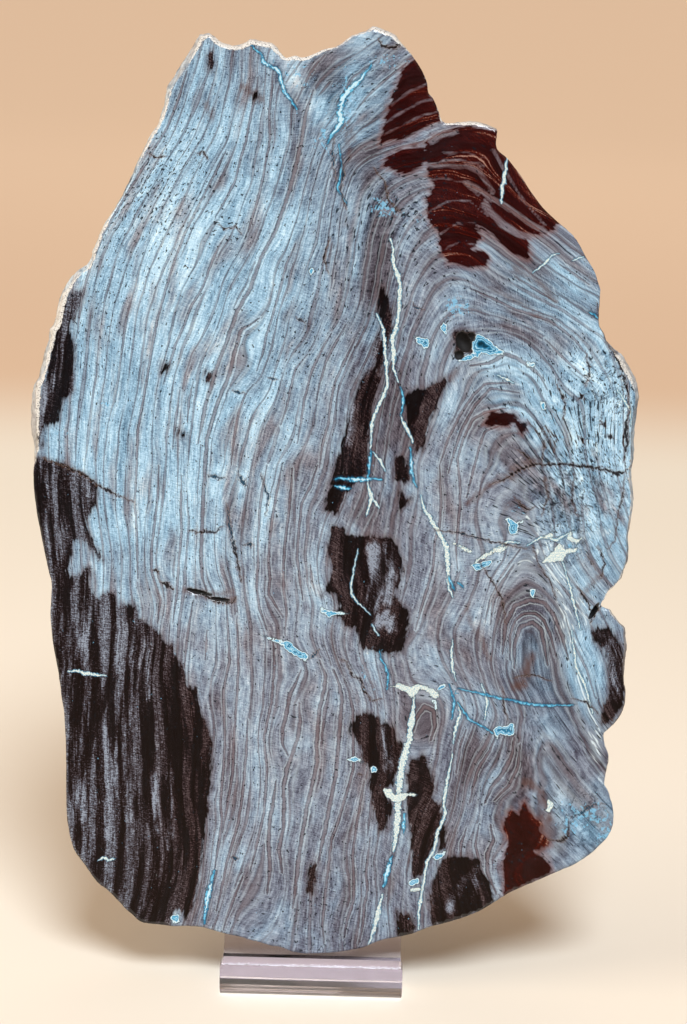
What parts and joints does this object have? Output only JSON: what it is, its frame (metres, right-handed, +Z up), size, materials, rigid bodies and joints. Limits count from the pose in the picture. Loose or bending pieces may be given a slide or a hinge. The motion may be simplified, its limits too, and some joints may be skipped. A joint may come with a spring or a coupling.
{
  "type": "polished stone slab on easel",
  "caption": "Tall polished slab of petrified wood with an uneven natural edge, leaning back on a bent clear acrylic easel.",
  "frame": {"origin": "middle of the footprint of the whole object's box, on the floor", "axes": "+Z up; the polished face looks towards -Y and leans back 14 degrees; +X is to the viewer's right"},
  "size_m": [0.2052, 0.114, 0.3118],
  "materials": {
    "petrified_wood": "high polish on the sawn face, matt natural edge",
    "clear_acrylic": "clear, glossy, flame polished edges"
  },
  "bodies": {
    "root": {"petrified_wood_slab": "petrified_wood", "acrylic_easel": "clear_acrylic"}
  },
  "joints": []
}
